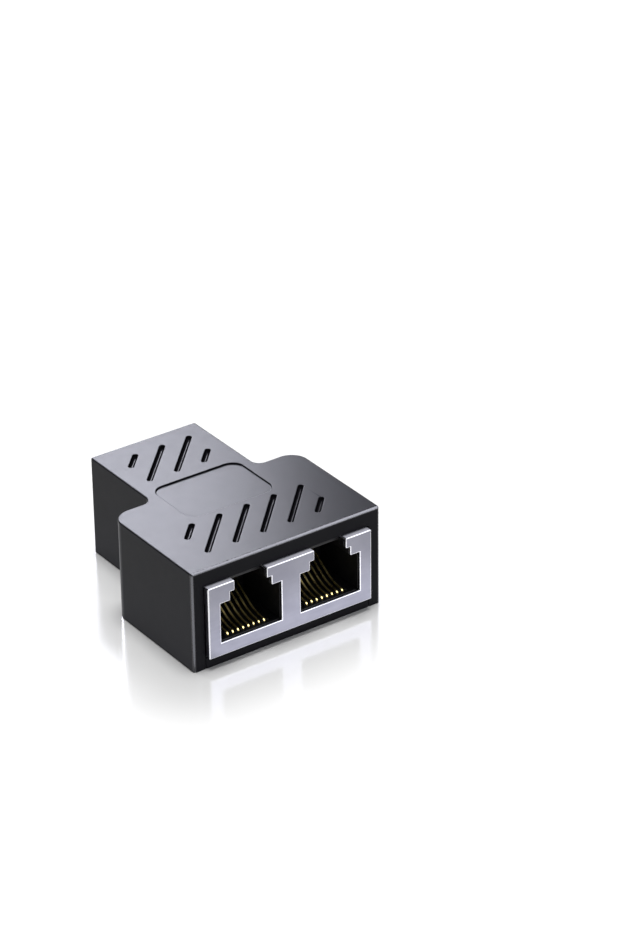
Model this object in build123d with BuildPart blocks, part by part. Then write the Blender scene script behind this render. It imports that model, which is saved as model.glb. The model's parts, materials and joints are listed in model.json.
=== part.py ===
from build123d import *
from math import cos, radians, sin, tan
import os

os.makedirs("parts", exist_ok=True)

# A splitter for network leads: two sockets side by side at the wide end and one at the narrow end.
# X runs across, Y from the two-socket end to the single one, and Z up from the flat underside.
# Lengths are in millimetres and angles in degrees.

# Plug opening, cut to the standard eight-way modular plug
plug_width = 11.9
plug_height = 7.3
ledge_width = 8.1
ledge_height = 1.6
latch_width = 6.3
latch_height = 1.8
port_pitch = 15.6
port_rim = 2.3
sill_height = 2.4

# Shield, one folded sheet round each block of sockets
sheet = 0.5
fold_radius = 0.2
shield_proud = 1.0
shield_depth = 17.0
notch_depth = 2.2
tab_width = 1.6
tab_reach = 1.6

# Contacts, eight formed wires to a socket
contact_count = 8
contact_pitch = 1.02
wire_width = 0.35
wire_thickness = 0.3
wire_gap = 0.03
nose_depth = 1.6
nose_steps = 6
first_rise = 3.0
lift_radius = 8.1
lift_steps = 4
second_rise = 33.0
tip_play = 0.3
tail_bend = 0.35
tail_reach = 0.9
tail_row_depth = 13.3
tail_row_pitch = 2.54

# Contact carrier
tongue_width = 9.2
tongue_thickness = 0.6
tongue_end = 0.2
ridge_width = 0.36
ridge_length = 1.6
ridge_lead = 0.15
ridge_rise = 0.2
comb_depth = 11.0
comb_thickness = 2.2
comb_slot_width = 0.55
comb_slot_depth = 1.5
comb_bridge = 1.3

# Socket block
block_setback = 0.65
block_fit = 0.1
lip_length = 0.65
peg_diameter = 2.0
peg_depth = 8.0
peg_reach = 0.5
slot_roof = 0.5
latch_wall = 1.6

# Circuit board
board_thickness = 1.0
board_gap = 0.07
board_margin = 0.3
peg_hole_play = 0.2
tail_hole_diameter = 0.86
tail_hole_sides = 8
tab_play = 0.2

# Housing
wall = 1.8
roof = 1.7
shield_headroom = 1.4
wide_clearance = 0.65
neck_clearance = 0.45
shield_gap = 10.2
shoulder_room = 7.6
shoulder_radius = 3.25
neck_radius = 1.7
wide_end_radius = 0.5
edge_radius = 0.3
window_gap = 0.15
rib_width = 1.2
rib_play = 0.1
rib_inset = 2.0

# Base cover
cover_thickness = 1.2
cover_fit = 0.1
rebate = 0.8
post_height = 1.3
post_width = 2.4
post_inset = 2.2
bead_length = 4.0
bead_height = 0.6
bead_reach = 0.3
bead_play = 0.1
bead_spacing = 12.0

# Grooves and label recess in the top
groove_width = 0.9
groove_depth = 0.6
groove_pitch = 5.4
groove_angle = 46.5
groove_half_reach = 4.2
wide_groove_margin = 6.1
neck_groove_margin = 3.8
wide_groove_inset = 8.95
neck_groove_inset = 8.15
recess_width = 17.0
recess_length = 12.0
recess_inset = 14.9
recess_depth = 0.28
recess_radius = 2.2

# Heights, stacked up from the underside
board_bottom = cover_thickness + post_height
board_top = board_bottom + board_thickness
run_top = board_top + board_gap + wire_thickness
bend_radius = tongue_thickness / 2 + wire_gap
tongue_bottom = run_top + wire_gap
plug_floor = tongue_bottom + tongue_thickness
plug_ceiling = plug_floor + plug_height
ledge_top = plug_ceiling + ledge_height
shield_bottom = plug_floor - sill_height
shield_top = ledge_top + latch_height
block_top = shield_top - sheet - block_fit
tongue_nose = nose_depth + wire_thickness + bend_radius
ceiling_height = shield_top + shield_headroom
body_height = ceiling_height + roof

# Widths and lengths, worked out from what the housing holds
cell_half = plug_width / 2 + port_rim
wide_half = port_pitch / 2 + cell_half + wide_clearance + wall
neck_half = cell_half + neck_clearance + wall
body_half = shield_depth - shield_proud + shield_gap / 2
shoulder_y = shield_depth - shield_proud + shoulder_room - body_half
overall_half = body_half + shield_proud
board_half = body_half - wall - board_margin

# Each end has its own frame: x across, y inwards from the face of the shield, z up from the underside
wide_end = Plane(origin=(0, -overall_half, 0), x_dir=(1, 0, 0), z_dir=(0, 0, 1))
neck_end = Plane(origin=(0, overall_half, 0), x_dir=(-1, 0, 0), z_dir=(0, 0, 1))
ends = {
    "two_port": (wide_end, [-port_pitch / 2, port_pitch / 2]),
    "single_port": (neck_end, [0.0]),
}
port_names = {"two_port": ["left", "right"], "single_port": ["single"]}


def across(end, depth):
    """Plane across the sockets at this depth, with its normal outwards and its y axis up."""
    return Plane(origin=end.origin + end.y_dir * depth, x_dir=end.x_dir, z_dir=-end.y_dir)


def section(end, x):
    """Plane along the sockets at this x, with depth as its x axis and height as its y axis."""
    return Plane(origin=end.origin + end.x_dir * x, x_dir=end.y_dir, z_dir=end.x_dir)


def block_half(ports):
    """Half the width of the shield round these ports."""
    return max(ports) + cell_half


def contact_places(port):
    """The x of each contact of a port, with the depth of its tail, in two staggered rows."""
    first = port - contact_pitch * (contact_count - 1) / 2
    return [(first + contact_pitch * i, tail_row_depth + tail_row_pitch * (i % 2)) for i in range(contact_count)]


def arc_points(centre, radius, start, stop, steps):
    """Evenly spaced points on an arc, from one angle to another."""
    angles = [radians(start + (stop - start) * i / steps) for i in range(steps + 1)]
    return [(centre[0] + radius * cos(a), centre[1] + radius * sin(a)) for a in angles]


def contact_line(tail_depth):
    """Line along the inside of a contact, next to the tongue: tail, run, nose, lift and tip."""
    tail_rear = tail_depth + wire_thickness / 2
    tail = [
        (tail_rear, board_bottom - tail_reach),
        (tail_rear, run_top - tail_bend),
        (tail_rear - tail_bend, run_top),
    ]
    nose = arc_points((tongue_nose, run_top + bend_radius), bend_radius, 270, 90 + first_rise, nose_steps)
    lift_centre = (
        nose[-1][0] - lift_radius * sin(radians(first_rise)),
        nose[-1][1] + lift_radius * cos(radians(first_rise)),
    )
    lift = arc_points(lift_centre, lift_radius, first_rise - 90, second_rise - 90, lift_steps)
    tip_depth = comb_depth + comb_slot_depth - tip_play
    tip = (tip_depth, lift[-1][1] + (tip_depth - lift[-1][0]) * tan(radians(second_rise)))
    return tail + nose + lift[1:] + [tip]


def left_of(points, distance):
    """The same line moved to its left by this distance, with its corners mitred."""
    corners = [Vector(*point) for point in points]
    steps = [(after - before).normalized() for before, after in zip(corners, corners[1:])]
    sides = [Vector(-step.Y, step.X) for step in steps]
    moved = []
    for corner, before, after in zip(corners, sides[:1] + sides, sides + sides[-1:]):
        moved.append(corner + (before + after) * (distance / (1 + before.dot(after))))
    return moved


def tee(inset):
    """T-shaped outline of the housing, moved inwards by inset."""
    with BuildSketch() as outline:
        with Locations((0, (shoulder_y - body_half) / 2)):
            Rectangle(2 * (wide_half - inset), shoulder_y + body_half - 2 * inset)
        with Locations((0, (shoulder_y - inset) / 2)):
            Rectangle(2 * (neck_half - inset), 2 * body_half - shoulder_y - inset)
        shoulder = outline.vertices().group_by(Axis.Y)[-2]
        fillet(shoulder.group_by(lambda v: abs(v.X))[-1], shoulder_radius - inset)
        neck = outline.vertices().filter_by(lambda v: abs(abs(v.X) - neck_half + inset) < 0.01)
        fillet(neck.group_by(Axis.Y)[0], neck_radius + inset)
    return outline.sketch


# Full outer form of the closed housing, which the shell and the base cover share
with BuildPart() as envelope:
    with BuildSketch():
        add(tee(0))
    extrude(amount=body_height)
    end_edges = envelope.faces().sort_by(Axis.Y)[0].edges()
    fillet(end_edges.filter_by(lambda edge: edge.center().Z > 0), wide_end_radius)
    rounded = envelope.faces().sort_by(Axis.Z)[-1].edges() + envelope.faces().sort_by(Axis.Y)[-1].edges()
    inner = rounded.filter_by(lambda edge: edge.center().Y > 2 * wide_end_radius - body_half)
    fillet(inner.filter_by(lambda edge: edge.center().Z > 0), edge_radius)

# Snap beads run across the cover from side to side, two on the wide part and one on the neck
cover_inset = wall - rebate + cover_fit
wide_middle = (shoulder_y - body_half) / 2
neck_middle = (shoulder_y + body_half) / 2
bead_places = [
    (wide_half - cover_inset, wide_middle - bead_spacing / 2),
    (wide_half - cover_inset, wide_middle + bead_spacing / 2),
    (neck_half - cover_inset, neck_middle),
]


def groove_lines(middle, half_width):
    """Centre lines of the diagonal grooves of one group, clipped to its width and reach."""
    slope = tan(radians(groove_angle))
    reach = groove_half_reach / slope
    count = int((half_width + reach) / groove_pitch + 0.5)
    lines = []
    for i in range(-count, count):
        x = groove_pitch * (i + 0.5)
        low = max(x - reach, -half_width)
        high = min(x + reach, half_width)
        if high - low > 2 * groove_width:
            lines.append((Vector(low, middle + (low - x) * slope), Vector(high, middle + (high - x) * slope)))
    return lines


wide_grooves = groove_lines(wide_groove_inset - body_half, wide_half - wide_groove_margin)
neck_grooves = groove_lines(body_half - neck_groove_inset, neck_half - neck_groove_margin)

# The upper housing: roof and full-height walls in one moulding, open below
with BuildPart() as housing_shell:
    add(envelope.part)
    with BuildSketch():
        add(tee(wall))
    extrude(amount=ceiling_height, mode=Mode.SUBTRACT)
    with BuildSketch():
        add(tee(wall - rebate))
    extrude(amount=cover_thickness, mode=Mode.SUBTRACT)
    # Windows for the shields, open to the underside so that the loaded board drops in
    for end, ports in ends.values():
        with BuildSketch(across(end, shield_proud)):
            window_width = 2 * (block_half(ports) + window_gap)
            Rectangle(window_width, shield_top + window_gap, align=(Align.CENTER, Align.MIN))
        extrude(amount=-wall, mode=Mode.SUBTRACT)
    # Slots for the snap beads of the base cover
    for half, y in bead_places:
        with BuildSketch(Plane.XY.offset((cover_thickness - bead_height) / 2 - bead_play)):
            with Locations((0, y)):
                Rectangle(2 * (half + bead_reach + bead_play), bead_length + 2 * bead_play)
        extrude(amount=bead_height + 2 * bead_play, mode=Mode.SUBTRACT)
    # Ribs under the roof that hold the socket blocks down
    for end, ports in ends.values():
        rib_start = shield_proud + wall
        rib_length = shield_depth - rib_inset - rib_start
        with BuildSketch(end.offset(shield_top + rib_play)):
            with Locations([(port, rib_start + rib_length / 2) for port in ports]):
                Rectangle(rib_width, rib_length)
        extrude(amount=shield_headroom - rib_play)
    # Diagonal grooves and the shallow label recess
    with BuildSketch(Plane.XY.offset(body_height)):
        for start, stop in wide_grooves + neck_grooves:
            centre_line = stop - start
            with Locations((start + stop) / 2):
                SlotCenterToCenter(centre_line.length, groove_width, rotation=groove_angle)
    extrude(amount=-groove_depth, mode=Mode.SUBTRACT)
    with BuildSketch(Plane.XY.offset(body_height)):
        with Locations((0, recess_inset + recess_length / 2 - body_half)):
            RectangleRounded(recess_width, recess_length, recess_radius)
    extrude(amount=-recess_depth, mode=Mode.SUBTRACT)
housing_shell.part.label = "housing_shell"
export_step(housing_shell.part, "parts/housing_shell.step")

# The underside: a plate let into the walls, with a lip that closes each window below its shield
with BuildPart() as base_cover:
    with BuildSketch():
        add(tee(cover_inset))
    extrude(amount=cover_thickness)
    for end, ports in ends.values():
        with BuildSketch(across(end, shield_proud)):
            lip_width = 2 * (block_half(ports) + window_gap - cover_fit)
            Rectangle(lip_width, shield_bottom - window_gap, align=(Align.CENTER, Align.MIN))
        extrude(amount=-wall)
    for half, y in bead_places:
        with BuildSketch(Plane.XY.offset((cover_thickness - bead_height) / 2)):
            with Locations((0, y)):
                Rectangle(2 * (half + bead_reach), bead_length)
        extrude(amount=bead_height)
    # Posts that carry the board near its corners
    wide_post_x = wide_half - wall - board_margin - post_inset
    neck_post_x = neck_half - wall - board_margin - post_inset
    post_rows = [
        (wide_post_x, post_inset - board_half),
        (wide_post_x, shoulder_y - wall - board_margin - post_inset),
        (neck_post_x, board_half - post_inset),
    ]
    with BuildSketch(Plane.XY.offset(cover_thickness)):
        with Locations([(side * x, y) for x, y in post_rows for side in (-1, 1)]):
            Rectangle(post_width, post_width)
    extrude(amount=post_height)
    add(envelope.part, mode=Mode.INTERSECT)
base_cover.part.label = "base_cover"
export_step(base_cover.part, "parts/base_cover.step")

# One board under all three sockets, with holes for the locating pegs and the contact tails
with BuildPart() as circuit_board:
    with BuildSketch(Plane.XY.offset(board_bottom)):
        add(tee(wall + board_margin))
    extrude(amount=board_thickness)
    for end, ports in ends.values():
        tab_edge = block_half(ports) - sheet - tab_play
        peg_x = max(ports) + plug_width / 2
        with BuildSketch(end.offset(board_bottom)):
            with Locations((-peg_x, peg_depth), (peg_x, peg_depth)):
                Circle((peg_diameter + peg_hole_play) / 2)
            with Locations([place for port in ports for place in contact_places(port)]):
                RegularPolygon(tail_hole_diameter / 2, tail_hole_sides, major_radius=False)
            with Locations((tab_edge, peg_depth)):
                Rectangle(wall, tab_width + 2 * tab_play, align=(Align.MIN, Align.CENTER))
            with Locations((-tab_edge, peg_depth)):
                Rectangle(wall, tab_width + 2 * tab_play, align=(Align.MAX, Align.CENTER))
        extrude(amount=board_thickness, mode=Mode.SUBTRACT)
circuit_board.part.label = "circuit_board"
export_step(circuit_board.part, "parts/circuit_board.step")


def port_outline(port, top):
    """Keyed outline of a plug opening: the plug, a ledge above it and the latch gap up to this top."""
    with BuildSketch() as outline:
        with Locations((port, plug_floor)):
            Rectangle(plug_width, plug_height, align=(Align.CENTER, Align.MIN))
            Rectangle(ledge_width, plug_height + ledge_height, align=(Align.CENTER, Align.MIN))
            Rectangle(latch_width, top - plug_floor, align=(Align.CENTER, Align.MIN))
    return outline.sketch


for name, (end, ports) in ends.items():
    half = block_half(ports)

    # Shield: front panel with the openings, top, sides and back, folded from one sheet and open below
    with BuildPart() as shield:
        with BuildSketch(end.offset(board_top)):
            Rectangle(2 * half, shield_depth, align=(Align.CENTER, Align.MIN))
        extrude(amount=shield_top - board_top)
        with BuildSketch(end.offset(shield_bottom)):
            Rectangle(2 * half, shield_proud + wall, align=(Align.CENTER, Align.MIN))
        extrude(amount=board_top - shield_bottom)
        front = shield.faces().sort_by(Axis(end.origin, end.y_dir))[0]
        along = shield.edges().filter_by(Axis.Y)
        fillet(front.edges() + along.group_by(Axis.Z)[0] + along.group_by(Axis.Z)[-1], fold_radius)
        with BuildSketch(end.offset(shield_bottom)):
            with Locations((0, sheet)):
                Rectangle(2 * (half - sheet), shield_depth - 2 * sheet, align=(Align.CENTER, Align.MIN))
        extrude(amount=shield_top - sheet - shield_bottom, mode=Mode.SUBTRACT)
        for port in ports:
            with BuildSketch(across(end, 0)):
                add(port_outline(port, shield_top))
            extrude(amount=-sheet, mode=Mode.SUBTRACT)
            with BuildSketch(across(end, 0)):
                with Locations((port, ledge_top)):
                    Rectangle(latch_width, latch_height, align=(Align.CENTER, Align.MIN))
            extrude(amount=-notch_depth, mode=Mode.SUBTRACT)
        with BuildSketch(end.offset(board_top)):
            with Locations([(side * (half - sheet / 2), peg_depth) for side in (-1, 1)]):
                Rectangle(sheet, tab_width)
        extrude(amount=-tab_reach)
    shield.part.label = name + "_shield"
    export_step(shield.part, f"parts/{name}_shield.step")

    # Socket block: one black moulding with a cavity for each plug
    block_rear = shield_depth - sheet - block_fit
    with BuildPart() as block:
        with BuildSketch(end.offset(board_top)):
            with Locations((0, block_setback)):
                Rectangle(
                    2 * (half - sheet - block_fit), block_rear - block_setback, align=(Align.CENTER, Align.MIN)
                )
        extrude(amount=block_top - board_top)
        for port in ports:
            # Plug cavity, open at the rear where the carrier goes in
            with BuildSketch(across(end, block_setback)):
                with Locations((port, plug_floor)):
                    Rectangle(plug_width, plug_height, align=(Align.CENTER, Align.MIN))
            extrude(amount=block_setback - block_rear, mode=Mode.SUBTRACT)
            # Latch gap in the front wall, and the wider chamber behind it where the latch springs up
            with BuildSketch(across(end, block_setback)):
                add(port_outline(port, block_top - slot_roof))
            extrude(amount=-latch_wall, mode=Mode.SUBTRACT)
            with BuildSketch(across(end, block_setback + latch_wall)):
                with Locations((port, plug_floor)):
                    Rectangle(ledge_width, block_top - slot_roof - plug_floor, align=(Align.CENTER, Align.MIN))
            extrude(amount=block_setback + latch_wall - comb_depth, mode=Mode.SUBTRACT)
            with BuildSketch(across(end, block_setback)):
                with Locations((port, ledge_top)):
                    Rectangle(latch_width, block_top - ledge_top, align=(Align.CENTER, Align.MIN))
            extrude(amount=block_setback - notch_depth, mode=Mode.SUBTRACT)
            # Floor cut-out for the carrier, behind the front lip
            with BuildSketch(across(end, block_setback + lip_length)):
                with Locations((port, board_top)):
                    Rectangle(tongue_width + 2 * block_fit, plug_floor - board_top, align=(Align.CENTER, Align.MIN))
            extrude(amount=block_setback + lip_length - block_rear, mode=Mode.SUBTRACT)
        with BuildSketch(end.offset(board_top)):
            with Locations([(side * (max(ports) + plug_width / 2), peg_depth) for side in (-1, 1)]):
                Circle(peg_diameter / 2)
        extrude(amount=-(board_thickness + peg_reach))
    block.part.label = name + "_socket_block"
    export_step(block.part, f"parts/{name}_socket_block.step")

    for port_name, port in zip(port_names[name], ports):
        # Contact carrier: a tongue under the contacts, ridges between them and a comb for their tips
        tongue_rear = tail_row_depth + tail_row_pitch + wire_thickness / 2 + tongue_end
        with BuildPart() as carrier:
            with BuildSketch(end.offset(tongue_bottom)):
                with Locations((port, tongue_nose)):
                    Rectangle(tongue_width, tongue_rear - tongue_nose, align=(Align.CENTER, Align.MIN))
            extrude(amount=tongue_thickness)
            with BuildSketch(end.offset(run_top - wire_thickness)):
                first_ridge = port - contact_pitch * contact_count / 2
                ridge_front = nose_depth - ridge_lead
                with Locations([(first_ridge + contact_pitch * i, ridge_front) for i in range(contact_count + 1)]):
                    Rectangle(ridge_width, ridge_length, align=(Align.CENTER, Align.MIN))
            extrude(amount=plug_floor + ridge_rise - run_top + wire_thickness)
            with BuildSketch(end.offset(plug_floor)):
                with Locations((port, comb_depth)):
                    Rectangle(plug_width - 2 * block_fit, comb_thickness, align=(Align.CENTER, Align.MIN))
            extrude(amount=plug_height - block_fit)
            with BuildSketch(end.offset(plug_floor)):
                with Locations([(x, comb_depth) for x, tail in contact_places(port)]):
                    Rectangle(comb_slot_width, comb_slot_depth, align=(Align.CENTER, Align.MIN))
            extrude(amount=plug_height - comb_bridge, mode=Mode.SUBTRACT)
        carrier.part.label = f"contact_carrier_{port_name}"
        export_step(carrier.part, f"parts/contact_carrier_{port_name}.step")

        # Contacts: tail up through the board, run forward under the tongue, round its nose and back up to the comb
        for number, (x, tail_depth) in enumerate(contact_places(port), start=1):
            with BuildPart() as contact:
                with BuildSketch(section(end, x)):
                    with BuildLine():
                        inside = contact_line(tail_depth)
                        outside = left_of(inside, wire_thickness)
                        Polyline(inside + outside[::-1], close=True)
                    make_face()
                extrude(amount=wire_width / 2, both=True)
            contact.part.label = f"contact_{port_name}_{number}"
            export_step(contact.part, f"parts/contact_{port_name}_{number}.step")
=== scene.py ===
"""Finish of an in-line network splitter: moulded housing, folded shields, black sockets and gold wires."""
import json
import math

import bmesh
import bpy
from mathutils import Matrix, Vector


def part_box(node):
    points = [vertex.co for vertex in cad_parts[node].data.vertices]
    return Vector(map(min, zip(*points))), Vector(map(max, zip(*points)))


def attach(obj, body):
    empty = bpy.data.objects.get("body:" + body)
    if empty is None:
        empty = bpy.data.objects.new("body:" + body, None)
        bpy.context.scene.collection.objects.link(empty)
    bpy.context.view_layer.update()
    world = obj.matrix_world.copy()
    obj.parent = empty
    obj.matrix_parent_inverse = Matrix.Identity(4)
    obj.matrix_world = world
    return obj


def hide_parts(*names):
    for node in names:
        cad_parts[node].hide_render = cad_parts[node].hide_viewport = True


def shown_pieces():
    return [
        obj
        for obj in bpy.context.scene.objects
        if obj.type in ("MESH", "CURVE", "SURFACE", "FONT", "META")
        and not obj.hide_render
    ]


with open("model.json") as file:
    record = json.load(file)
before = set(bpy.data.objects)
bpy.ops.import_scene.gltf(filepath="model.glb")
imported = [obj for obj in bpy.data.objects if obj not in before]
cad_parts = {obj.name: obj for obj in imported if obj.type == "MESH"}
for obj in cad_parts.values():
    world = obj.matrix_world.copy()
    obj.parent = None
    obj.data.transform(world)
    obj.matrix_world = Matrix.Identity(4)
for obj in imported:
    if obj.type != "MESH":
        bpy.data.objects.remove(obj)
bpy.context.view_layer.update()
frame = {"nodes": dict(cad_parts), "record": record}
slots = {subpart["node"]: subpart["material_slot"] for subpart in frame["record"]["subparts"]}

MM = 0.001
UP = Vector((0, 0, 1))

# Rounding of the edges, in metres
HOUSING_EDGE = 0.14 * MM
COVER_EDGE = 0.05 * MM
SHIELD_EDGE = 0.13 * MM
SOCKET_EDGE = 0.10 * MM
CARRIER_EDGE = 0.04 * MM
BOARD_EDGE = 0.05 * MM
WIRE_EDGE = 0.06 * MM
WIRE_EDGE_STEPS = 3

# Grooves in the top, which a ball-nosed cutter leaves round, and the label recess.
# Their rims get only a share of the housing's rounding, so they stay crisp.
GROOVE_DEPTH = 0.6 * MM
GROOVE_ROUNDING = 0.40 * MM
GROOVE_STEPS = 6
RECESS_DEPTH = 0.28 * MM
CRISP_SHARE = 0.2

# Strip at each end of the housing in which the edges are polished
END_BAND = 0.55 * MM

# Contact wires, in metres and degrees
WIRE_WIDTH = 0.35 * MM
WIRE_THICKNESS = 0.30 * MM
TAIL_BEND = 0.50 * MM
TAIL_STEPS = 6
NOSE_RADIUS = 0.33 * MM
NOSE_STEPS = 18
LIFT_RADIUS = 8.1 * MM
LIFT_STEPS = 10
FIRST_RISE = 3.0
SECOND_RISE = 33.0
TIP_REACH = 10.6 * MM
CONTACTS = 8

# Tolerances: points that are one, heights that are the same, the share of a normal along an axis from
# which a face looks along that axis, and the share upwards that an upright wall may have
SAME_POINT = 1e-7
SAME_HEIGHT = 0.01 * MM
ALONG_AXIS = 0.995
UPRIGHT = 0.1

# Angles between faces, in degrees: less than the first is one surface, more than the others is rounded
ONE_SURFACE = 0.4
SHARP_EDGE = 30
WIRE_CORNER = 60

# Range that most of the noise lies in, and its cells to the metre
NOISE_RANGE = (0.3, 0.7)
TONE_CELLS = 160
ROUGHNESS_CELLS = 700
HOUSING_GRAIN = 9000
SOCKET_GRAIN = 7000
ROLLING_CELLS = 1800
NICKEL_CELLS = 220
GOLD_CELLS = 900
TRACK_CELLS = 380
MASK_CELLS = 6000

# Rolling marks run along X and tracks along Y, where they have only this share of the cells
ROLLING_STRETCH = (0.12, 1, 1)
TRACK_STRETCH = (1, 0.25, 1)

# Depth of the relief in the metal and in the solder mask
ROLLING_DEPTH = 0.002 * MM
MASK_DEPTH = 0.004 * MM

# Dark and light tone of each colour
CHARCOAL = ((0.0050, 0.0050, 0.0068), (0.0066, 0.0066, 0.0088))
# Darker black of the sunk walls: painted shade in the grooves and the label recess
PAINTED_SHADE_BLACK = ((0.0030, 0.0030, 0.0038), (0.0040, 0.0040, 0.0050))
SOCKET_BLACK = ((0.006, 0.006, 0.007), (0.009, 0.009, 0.010))
CARRIER_BLACK = ((0.006, 0.006, 0.007), (0.010, 0.010, 0.011))
NICKEL = ((0.235, 0.235, 0.275), (0.275, 0.275, 0.315))
# Much lighter nickel for the rounded edges of the shields: a painted highlight
PAINTED_HIGHLIGHT_NICKEL = ((0.78, 0.78, 0.80), (0.84, 0.84, 0.86))
# Lighter, less metallic nickel for the tops of the shields: painted light on their top faces
PAINTED_LIGHT_NICKEL = ((0.40, 0.40, 0.45), (0.44, 0.44, 0.49))
GOLD = ((0.56, 0.45, 0.17), (0.66, 0.54, 0.22))
MASK_GREEN = ((0.010, 0.075, 0.030), (0.022, 0.130, 0.055))
COOL_WHITE = (0.91, 0.92, 1.04)


# Materials


def start_material(name):
    """New material, with its node tree, its principled shader and the place on the object."""
    material = bpy.data.materials.new(name)
    material.use_nodes = True
    tree = material.node_tree
    shader = tree.nodes["Principled BSDF"]
    coordinates = tree.nodes.new("ShaderNodeTexCoord")
    return material, tree, shader, coordinates.outputs["Object"]


def noise(tree, place, scale, detail=3.0, stretch=(1, 1, 1)):
    """Noise of this many cells to the metre, stretched along the axes if wanted."""
    mapping = tree.nodes.new("ShaderNodeMapping")
    mapping.inputs["Scale"].default_value = stretch
    tree.links.new(place, mapping.inputs["Vector"])
    texture = tree.nodes.new("ShaderNodeTexNoise")
    texture.inputs["Scale"].default_value = scale
    texture.inputs["Detail"].default_value = detail
    tree.links.new(mapping.outputs["Vector"], texture.inputs["Vector"])
    return texture.outputs["Fac"]


def spread(tree, value, low, high):
    """Noise spread over the range from low to high."""
    span = tree.nodes.new("ShaderNodeMapRange")
    span.inputs["From Min"].default_value, span.inputs["From Max"].default_value = NOISE_RANGE
    span.inputs["To Min"].default_value = low
    span.inputs["To Max"].default_value = high
    tree.links.new(value, span.inputs["Value"])
    return span.outputs["Result"]


def two_tones(tree, value, tones):
    """Colour between a dark and a light tone, by a noise."""
    share = spread(tree, value, 0, 1)
    mix = tree.nodes.new("ShaderNodeMix")
    mix.data_type = "RGBA"
    for side, tone in zip("AB", tones):
        mix.inputs[side].default_value = (*tone, 1)
    tree.links.new(share, mix.inputs["Factor"])
    return mix.outputs["Result"]


def relief(tree, value, depth):
    """Bump of this depth in metres."""
    bump = tree.nodes.new("ShaderNodeBump")
    bump.inputs["Distance"].default_value = depth
    tree.links.new(value, bump.inputs["Height"])
    return bump.outputs["Normal"]


def moulded_plastic(name, tones, roughness, grain, grain_depth, gloss):
    """Moulded plastic with a fine spark-eroded grain."""
    material, tree, shader, place = start_material(name)
    cloud = noise(tree, place, TONE_CELLS, 2)
    tree.links.new(two_tones(tree, cloud, tones), shader.inputs["Base Color"])
    patches = noise(tree, place, ROUGHNESS_CELLS, 4)
    tree.links.new(spread(tree, patches, *roughness), shader.inputs["Roughness"])
    tree.links.new(relief(tree, noise(tree, place, grain, 2), grain_depth), shader.inputs["Normal"])
    shader.inputs["Specular IOR Level"].default_value = gloss
    return material


def nickel_plate(name, tones, roughness, metal=1.0):
    """Satin nickel on rolled sheet, with faint marks along the rolling direction."""
    material, tree, shader, place = start_material(name)
    streak = noise(tree, place, ROLLING_CELLS, 4, ROLLING_STRETCH)
    cloud = noise(tree, place, NICKEL_CELLS, 3)
    tree.links.new(two_tones(tree, cloud, tones), shader.inputs["Base Color"])
    tree.links.new(spread(tree, streak, *roughness), shader.inputs["Roughness"])
    tree.links.new(relief(tree, streak, ROLLING_DEPTH), shader.inputs["Normal"])
    shader.inputs["Metallic"].default_value = metal
    return material


def gold_wire():
    """Gold-plated spring wire."""
    material, tree, shader, place = start_material("gold_plated_wire")
    cloud = noise(tree, place, GOLD_CELLS, 3)
    tree.links.new(two_tones(tree, cloud, GOLD), shader.inputs["Base Color"])
    tree.links.new(spread(tree, cloud, 0.26, 0.32), shader.inputs["Roughness"])
    shader.inputs["Metallic"].default_value = 1.0
    return material


def solder_mask():
    """Green solder mask with the copper tracks showing faintly below it."""
    material, tree, shader, place = start_material("solder_mask")
    tracks = noise(tree, place, TRACK_CELLS, 1, TRACK_STRETCH)
    tree.links.new(two_tones(tree, tracks, MASK_GREEN), shader.inputs["Base Color"])
    tree.links.new(relief(tree, noise(tree, place, MASK_CELLS, 2), MASK_DEPTH), shader.inputs["Normal"])
    shader.inputs["Roughness"].default_value = 0.3
    return material


# Finish of each slot. Numbers are roughness, grain, depth of the grain and gloss, or roughness alone.
finish = {
    "housing_plastic": moulded_plastic(
        "charcoal_housing", CHARCOAL, (0.32, 0.35), HOUSING_GRAIN, 0.003 * MM, 0.062
    ),
    "shield_metal": nickel_plate("satin_nickel", NICKEL, (0.30, 0.42)),
    "socket_plastic": moulded_plastic(
        "black_socket", SOCKET_BLACK, (0.28, 0.36), SOCKET_GRAIN, 0.003 * MM, 0.35
    ),
    "carrier_plastic": moulded_plastic(
        "black_carrier", CARRIER_BLACK, (0.36, 0.46), SOCKET_GRAIN, 0.003 * MM, 0.3
    ),
    "contact_gold": gold_wire(),
    "board_laminate": solder_mask(),
}
# Matte walls and bottoms of the grooves and the recess, whose darker black is painted shade
painted_shade_finish = moulded_plastic(
    "matte_sunk_faces", PAINTED_SHADE_BLACK, (0.66, 0.78), HOUSING_GRAIN, 0.004 * MM, 0.0
)
housing_edge_finish = moulded_plastic(
    "polished_housing_edges", CHARCOAL, (0.24, 0.30), HOUSING_GRAIN, 0.002 * MM, 0.5
)
# Rounded edges of the shields in a much lighter nickel: a painted highlight
painted_highlight_finish = nickel_plate("polished_shield_edges", PAINTED_HIGHLIGHT_NICKEL, (0.24, 0.32))
# Tops of the shields in a lighter, rougher, less metallic nickel: painted light on the top
painted_light_top_finish = nickel_plate("dull_shield_top", PAINTED_LIGHT_NICKEL, (0.40, 0.50), 0.35)

# Further finishes of a piece, which follow the finish of its slot, and their places in its materials
detail_finishes = {
    "housing_shell": (painted_shade_finish, housing_edge_finish),
    "two_port_shield": (painted_highlight_finish, painted_light_top_finish),
    "single_port_shield": (painted_highlight_finish, painted_light_top_finish),
}
PAINTED_SHADE_PLACE, HOUSING_EDGE_PLACE = 1, 2
PAINTED_HIGHLIGHT_PLACE, PAINTED_LIGHT_PLACE = 1, 2


# Pieces


def finished_object(name, node, mesh):
    """Object that stands for a node, with the finish of its slot."""
    slot = slots[node]
    mesh.materials.append(finish[slot])
    for detail_finish in detail_finishes.get(node, ()):
        mesh.materials.append(detail_finish)
    piece = bpy.data.objects.new(name, mesh)
    bpy.context.scene.collection.objects.link(piece)
    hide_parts(node)
    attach(piece, "root")
    return piece


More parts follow.
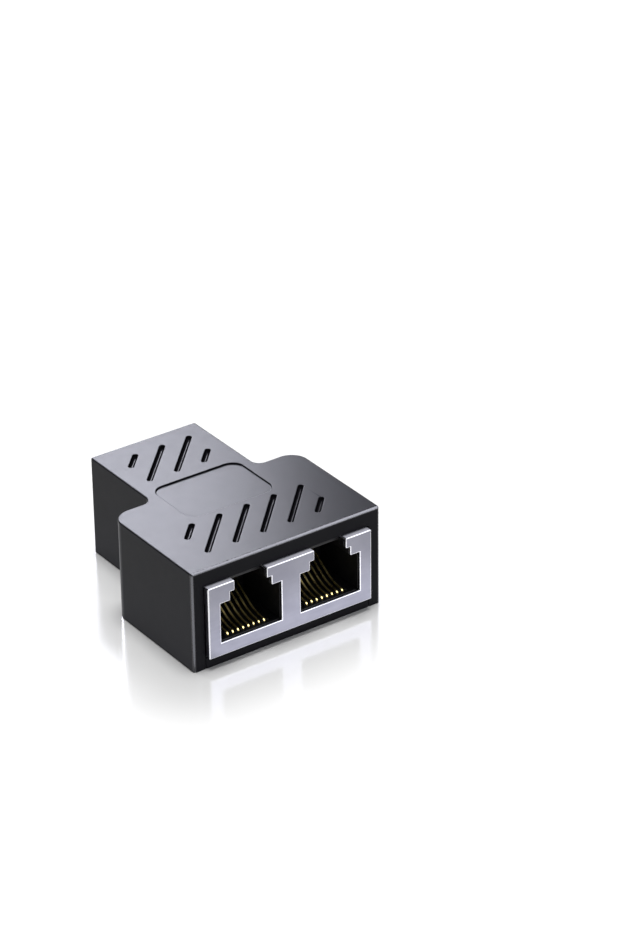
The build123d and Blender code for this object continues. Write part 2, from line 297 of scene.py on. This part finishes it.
def mesh_of(name, form):
    """Mesh with the shape of a modelled form, which isn't needed after it."""
    mesh = bpy.data.meshes.new(name)
    form.to_mesh(mesh)
    form.free()
    return mesh


def finished_form(node, form):
    """Smoothly shaded object from a modelled form."""
    for face in form.faces:
        face.smooth = True
    return finished_object(node + "_finished", node, mesh_of(node + "_form", form))


def flat_faces(piece):
    """Shade the large faces flat and leave the change of direction to the rounded edges."""
    shading = piece.modifiers.new("flat_faces", "WEIGHTED_NORMAL")
    shading.weight = 80


def softened(node, width, segments=3, shaping=None, edge_material=-1):
    """Copy of a node with its sharp edges rounded, as moulding and stamping leave them."""
    form = bmesh.new()
    form.from_mesh(frame["nodes"][node].data)
    bmesh.ops.remove_doubles(form, verts=form.verts, dist=SAME_POINT)
    bmesh.ops.dissolve_limit(form, angle_limit=math.radians(ONE_SURFACE), verts=form.verts, edges=form.edges)
    if shaping:
        shaping(form)
    share = form.edges.layers.float.new("bevel_weight_edge")
    for edge in form.edges:
        if edge.is_manifold and edge.calc_face_angle() > math.radians(SHARP_EDGE):
            edge[share] = CRISP_SHARE if edge.tag else 1.0
    piece = finished_form(node, form)
    rounding = piece.modifiers.new("rounded_edges", "BEVEL")
    rounding.width = width
    rounding.segments = segments
    rounding.limit_method = "WEIGHT"
    rounding.use_clamp_overlap = False
    rounding.material = edge_material
    flat_faces(piece)


def round_edges(form, edges, width, segments):
    """Round these edges of a form, and return the faces that do it."""
    return bmesh.ops.bevel(
        form, geom=edges, offset=width, offset_type="OFFSET", affect="EDGES", segments=segments, profile=0.5,
        material=-1, clamp_overlap=False,
    )["faces"]


def lies_at(edge, height):
    """Whether both ends of an edge are at this height."""
    return all(abs(vert.co.z - height) < SAME_HEIGHT for vert in edge.verts)


def oblique(face):
    """Whether a face looks along none of the three axes, as the faces of a rounded edge."""
    return max(abs(part) for part in face.normal) < ALONG_AXIS


def housing_details(form):
    """Round the grooves, make the sunk walls matte and a darker black, a painted shade, with crisp rims, and
    polish the edges of the two ends.
    """
    low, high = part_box("housing_shell")
    for face in form.faces:
        at_front = all(vert.co.y < low.y + END_BAND for vert in face.verts)
        at_back = all(vert.co.y > high.y - END_BAND for vert in face.verts)
        if (at_front or at_back) and oblique(face):
            face.material_index = HOUSING_EDGE_PLACE
    bottoms = [edge for edge in form.edges if lies_at(edge, high.z - GROOVE_DEPTH)]
    recess = [edge for edge in form.edges if lies_at(edge, high.z - RECESS_DEPTH)]
    walls = {face for edge in bottoms + recess for face in edge.link_faces if abs(face.normal.z) < UPRIGHT}
    # The sunk walls and the rounded groove bottoms get the darker black, a painted shade
    for wall in walls:
        wall.material_index = PAINTED_SHADE_PLACE
        for rim in wall.edges:
            rim.tag = lies_at(rim, high.z) or lies_at(rim, high.z - RECESS_DEPTH)
    for face in round_edges(form, bottoms, GROOVE_ROUNDING, GROOVE_STEPS):
        face.material_index = PAINTED_SHADE_PLACE


def shield_details(form):
    """Give the bends and cut edges of the sheet a much lighter nickel, a painted highlight, and the top a
    lighter, less metallic and rougher nickel, which is painted light.
    """
    top = max(vert.co.z for vert in form.verts)
    # Top faces get the painted light, the other rounded faces the painted highlight
    for face in form.faces:
        if all(vert.co.z > top - SAME_HEIGHT for vert in face.verts):
            face.material_index = PAINTED_LIGHT_PLACE
        elif oblique(face):
            face.material_index = PAINTED_HIGHLIGHT_PLACE


def joined_end(form, old_end, grown):
    """Clear the old end of a wire away where it is now inside the wire, and return the new end."""
    inside = [face for face in old_end if all(len(edge.link_faces) > 2 for edge in face.edges)]
    bmesh.ops.delete(form, geom=inside, context="FACES_ONLY")
    return [part for part in grown if isinstance(part, bmesh.types.BMFace)]


def drawn(form, end, along, rise):
    """Carry the end of a wire straight on, and return its new end."""
    grown = bmesh.ops.extrude_face_region(form, geom=end)["geom"]
    corners = [part for part in grown if isinstance(part, bmesh.types.BMVert)]
    bmesh.ops.translate(form, vec=(0, along, rise), verts=corners)
    return joined_end(form, end, grown)


def bent(form, end, along, height, angle, steps):
    """Carry the end of a wire round a centre, and return its new end."""
    turned = bmesh.ops.spin(
        form, geom=end, cent=(0, along, height), axis=(1, 0, 0), angle=math.radians(angle), steps=steps,
        use_merge=False, use_duplicate=False,
    )["geom_last"]
    return joined_end(form, end, turned)


def formed_wire(node, carrier, turned):
    """Spring contact: its tail, the run below the tongue, the nose, and the lift back to the comb."""
    low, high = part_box(node)
    reach = high.y - low.y
    run_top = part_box(carrier)[0].z + WIRE_THICKNESS
    form = bmesh.new()
    bmesh.ops.create_grid(form, x_segments=1, y_segments=1, size=0.5)
    bmesh.ops.scale(form, vec=(WIRE_WIDTH, WIRE_THICKNESS, 1), verts=form.verts)
    bmesh.ops.translate(form, vec=(0, reach - WIRE_THICKNESS / 2, low.z), verts=form.verts)
    end = drawn(form, form.faces[:], 0, run_top - TAIL_BEND - low.z)
    end = bent(form, end, reach - TAIL_BEND, run_top - TAIL_BEND, 90, TAIL_STEPS)
    nose = Vector((WIRE_THICKNESS + NOSE_RADIUS, run_top + NOSE_RADIUS))
    end = drawn(form, end, nose.x - (reach - TAIL_BEND), 0)
    end = bent(form, end, nose.x, nose.y, FIRST_RISE - 180, NOSE_STEPS)
    first, second = math.radians(FIRST_RISE), math.radians(SECOND_RISE)
    outwards = Vector((-math.sin(first), math.cos(first)))
    crown = nose + NOSE_RADIUS * outwards
    pivot = crown + LIFT_RADIUS * outwards
    end = bent(form, end, pivot.x, pivot.y, SECOND_RISE - FIRST_RISE, LIFT_STEPS)
    tip = TIP_REACH - (pivot.x + LIFT_RADIUS * math.sin(second))
    drawn(form, end, tip, tip * math.tan(second))
    bmesh.ops.recalc_face_normals(form, faces=form.faces)
    corners = [edge for edge in form.edges if edge.calc_face_angle() > math.radians(WIRE_CORNER)]
    round_edges(form, corners, WIRE_EDGE, WIRE_EDGE_STEPS)
    middle = (low.x + high.x) / 2
    if turned:
        bmesh.ops.rotate(form, cent=(0, 0, 0), matrix=Matrix.Rotation(math.pi, 3, "Z"), verts=form.verts)
        bmesh.ops.translate(form, vec=(middle, high.y, 0), verts=form.verts)
    else:
        bmesh.ops.translate(form, vec=(middle, low.y, 0), verts=form.verts)
    flat_faces(finished_form(node, form))


softened("housing_shell", HOUSING_EDGE, shaping=housing_details)
softened("base_cover", COVER_EDGE)
softened("circuit_board", BOARD_EDGE, 2)
for shield in ("two_port_shield", "single_port_shield"):
    # The faces of the rounding get the painted highlight too
    softened(shield, SHIELD_EDGE, shaping=shield_details, edge_material=PAINTED_HIGHLIGHT_PLACE)
for block in ("two_port_socket_block", "single_port_socket_block"):
    softened(block, SOCKET_EDGE)
for port in ("left", "right", "single"):
    softened("contact_carrier_" + port, CARRIER_EDGE, 2)
    for number in range(1, CONTACTS + 1):
        formed_wire(f"contact_{port}_{number}", "contact_carrier_" + port, port == "single")


# Floor, light and camera

# Table: half its side, its white, and the mirror in it, with the share at the foot of the object, the
# distance at which it has faded out and its blur
TABLE_HALF = 3.0
TABLE_WHITE = 0.77
MIRROR_SHARE = 0.40
MIRROR_REACH = 24 * MM
MIRROR_BLUR = 0.15

# How much further out the neck of the housing reaches than its shield, on each side
NECK_MARGIN = 2.2 * MM

# The two cards lie just above the table
CARD_HEIGHT = 0.2 * MM

# Camera: width of its sensor in millimetres, and the nearest that it sees in metres
SENSOR_WIDTH = 36
NEAREST = 0.01


def arithmetic(tree, operation, first, second=None):
    """One step of arithmetic on two values or node outputs."""
    step = tree.nodes.new("ShaderNodeMath")
    step.operation = operation
    for socket, value in zip(step.inputs, (first, second)):
        if isinstance(value, (int, float)):
            socket.default_value = value
        elif value is not None:
            tree.links.new(value, socket)
    return step.outputs["Value"]


def outside(tree, place, low, high):
    """How far a place on the table lies outside a rectangle."""
    axes = tree.nodes.new("ShaderNodeSeparateXYZ")
    tree.links.new(place, axes.inputs["Vector"])
    gaps = []
    for axis, start, end in zip("XY", low, high):
        from_middle = arithmetic(tree, "SUBTRACT", axes.outputs[axis], (start + end) / 2)
        beyond = arithmetic(tree, "SUBTRACT", arithmetic(tree, "ABSOLUTE", from_middle), (end - start) / 2)
        gaps.append(arithmetic(tree, "POWER", arithmetic(tree, "MAXIMUM", beyond, 0.0), 2.0))
    return arithmetic(tree, "SQRT", arithmetic(tree, "ADD", *gaps))


def studio_floor():
    """White table with a soft, faint reflection close round the object."""
    form = bmesh.new()
    bmesh.ops.create_grid(form, x_segments=1, y_segments=1, size=TABLE_HALF)
    mesh = mesh_of("table", form)
    material, tree, shader, place = start_material("white_table")
    shader.inputs["Base Color"].default_value = (TABLE_WHITE, TABLE_WHITE, TABLE_WHITE, 1)
    shader.inputs["Roughness"].default_value = 0.9
    shader.inputs["Specular IOR Level"].default_value = 0.0
    mirror = tree.nodes.new("ShaderNodeBsdfGlossy")
    mirror.inputs["Roughness"].default_value = MIRROR_BLUR
    mirror.inputs["Color"].default_value = (1, 1, 1, 1)
    mix = tree.nodes.new("ShaderNodeMixShader")
    low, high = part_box("housing_shell")
    shield_low, shield_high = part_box("single_port_shield")
    wide = outside(tree, place, (low.x, low.y), (high.x, 0.0))
    neck = outside(tree, place, (shield_low.x - NECK_MARGIN, 0.0), (shield_high.x + NECK_MARGIN, high.y))
    fade = tree.nodes.new("ShaderNodeMapRange")
    fade.interpolation_type = "SMOOTHSTEP"
    fade.inputs["From Max"].default_value = MIRROR_REACH
    fade.inputs["To Min"].default_value = MIRROR_SHARE
    fade.inputs["To Max"].default_value = 0.0
    tree.links.new(arithmetic(tree, "MINIMUM", wide, neck), fade.inputs["Value"])
    tree.links.new(fade.outputs["Result"], mix.inputs["Fac"])
    tree.links.new(shader.outputs["BSDF"], mix.inputs[1])
    tree.links.new(mirror.outputs["BSDF"], mix.inputs[2])
    tree.links.new(mix.outputs["Shader"], tree.nodes["Material Output"].inputs["Surface"])
    mesh.materials.append(material)
    table = bpy.data.objects.new("table", mesh)
    bpy.context.scene.collection.objects.link(table)
    return table


def reflected_panel(name, place, facing, width, height, brightness, pieces):
    """Evenly lit panel that is seen only in the reflections of some pieces."""
    light = bpy.data.lights.new(name, "AREA")
    light.shape = "RECTANGLE"
    light.size = width
    light.size_y = height
    light.energy = brightness * math.pi * width * height
    light.color = COOL_WHITE
    lamp = bpy.data.objects.new(name, light)
    lamp.location = place
    lamp.rotation_euler = facing.to_track_quat("-Z", "Y").to_euler()
    lamp.visible_camera = False
    lamp.visible_diffuse = False
    lamp.light_linking.receiver_collection = pieces
    bpy.context.scene.collection.objects.link(lamp)


def softbox(name, direction, distance, shift, width, height, brightness, pieces):
    """Soft light in a direction from the top of the object, shifted across that direction."""
    towards = Vector(direction).normalized()
    across = towards.cross(UP).normalized()
    place = Vector((0, 0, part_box("housing_shell")[1].z)) + towards * distance + across * shift
    reflected_panel(name, place, -towards, width, height, brightness, pieces)


def card(name, x, y, width, height, brightness, pieces):
    """White card that lies face up on the table, with its place and size in millimetres."""
    place = Vector((x * MM, y * MM, CARD_HEIGHT))
    reflected_panel(name, place, UP, width * MM, height * MM, brightness, pieces)


def piece_group(name, group_slots):
    """Collection of the pieces that have one of these finishes, for the lights that are theirs alone."""
    group = bpy.data.collections.new(name)
    chosen = {node + "_finished" for node, slot in slots.items() if slot in group_slots}
    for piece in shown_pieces():
        if piece.name in chosen:
            group.objects.link(piece)
    return group


def white_walls(table, distance, height, brightness):
    """Four white walls round the table, which only the table reflects."""
    group = bpy.data.collections.new("table_group")
    group.objects.link(table)
    for quarter in range(4):
        inwards = Matrix.Rotation(quarter * math.pi / 2, 3, "Z") @ Vector((1, 0, 0))
        place = -inwards * distance + Vector((0, 0, height / 2))
        reflected_panel(f"wall_{quarter}", place, inwards, 2 * distance, height, brightness, group)


def light_from_above(name, strength, spread_angle):
    """Light from straight above, spread over this angle, that is not seen in reflections."""
    light = bpy.data.lights.new(name, "SUN")
    light.energy = strength
    light.angle = math.radians(spread_angle)
    lamp = bpy.data.objects.new(name, light)
    lamp.visible_camera = False
    lamp.visible_glossy = False
    bpy.context.scene.collection.objects.link(lamp)


def studio_world(strength):
    """Even surroundings."""
    world = bpy.data.worlds.new("studio")
    world.use_nodes = True
    background = world.node_tree.nodes["Background"]
    background.inputs["Color"].default_value = (1, 1, 1, 1)
    background.inputs["Strength"].default_value = strength
    bpy.context.scene.world = world
    bpy.context.scene.view_settings.view_transform = "Standard"


def photo_camera(place, azimuth, elevation, roll, lens):
    """Camera at a place in metres, with its direction from the object and its roll in degrees."""
    around, above, tilt = (math.radians(angle) for angle in (azimuth, elevation, roll))
    level = math.cos(above)
    back = Vector((math.sin(around) * level, -math.cos(around) * level, math.sin(above)))
    right = (-back).cross(UP).normalized()
    up = right.cross(-back)
    right, up = math.cos(tilt) * right + math.sin(tilt) * up, math.cos(tilt) * up - math.sin(tilt) * right
    camera = bpy.data.cameras.new("photo_camera")
    camera.sensor_width = SENSOR_WIDTH
    camera.lens = lens
    camera.clip_start = NEAREST
    viewer = bpy.data.objects.new("photo_camera", camera)
    viewer.matrix_world = Matrix.Translation(place) @ Matrix((right, up, back)).transposed().to_4x4()
    bpy.context.scene.collection.objects.link(viewer)
    bpy.context.scene.camera = viewer


housing_group = piece_group("housing_group", ("housing_plastic",))
inner_group = piece_group(
    "inner_group", ("shield_metal", "contact_gold", "socket_plastic", "carrier_plastic", "board_laminate")
)
shield_group = piece_group("shield_group", ("shield_metal",))
contact_group = piece_group("contact_group", ("contact_gold",))

white_walls(studio_floor(), distance=1.0, height=2.0, brightness=1.0)
studio_world(strength=0.28)
light_from_above("overhead_light", strength=3.1, spread_angle=20)
light_from_above("wide_light", strength=0.75, spread_angle=150)

# Soft lights: direction, distance, shift, width, height, brightness and the pieces that reflect them
for soft_light in (
    ("back_softbox", (0.465, 0.66, 0.59), 0.20, -0.076, 0.162, 0.105, 33.0, housing_group),
    ("edge_softbox", (0.51, -0.25, 0.82), 0.35, 0.0, 0.36, 0.34, 11.0, housing_group),
    ("low_edge_softbox", (0.504, -0.80, 0.34), 0.35, 0.0, 0.14, 0.14, 9.0, housing_group),
    ("inner_softbox", (0.52, -0.50, 0.70), 0.35, 0.0, 0.40, 0.36, 2.5, inner_group),
    ("contact_softbox", (0.20, -0.75, 0.63), 0.35, 0.0, 0.30, 0.30, 5.0, contact_group),
):
    softbox(*soft_light)

# Cards: place across and along, width, height, brightness and the pieces that reflect them
card("corner_card", -34, -40, 30, 36, 3.0, housing_group)
card("floor_card", 8, -29, 42, 11, 0.8, shield_group)

photo_camera(
    (-0.27335, -0.41565, 0.29666), azimuth=-35.174, elevation=28.873, roll=-0.736, lens=134.04
)
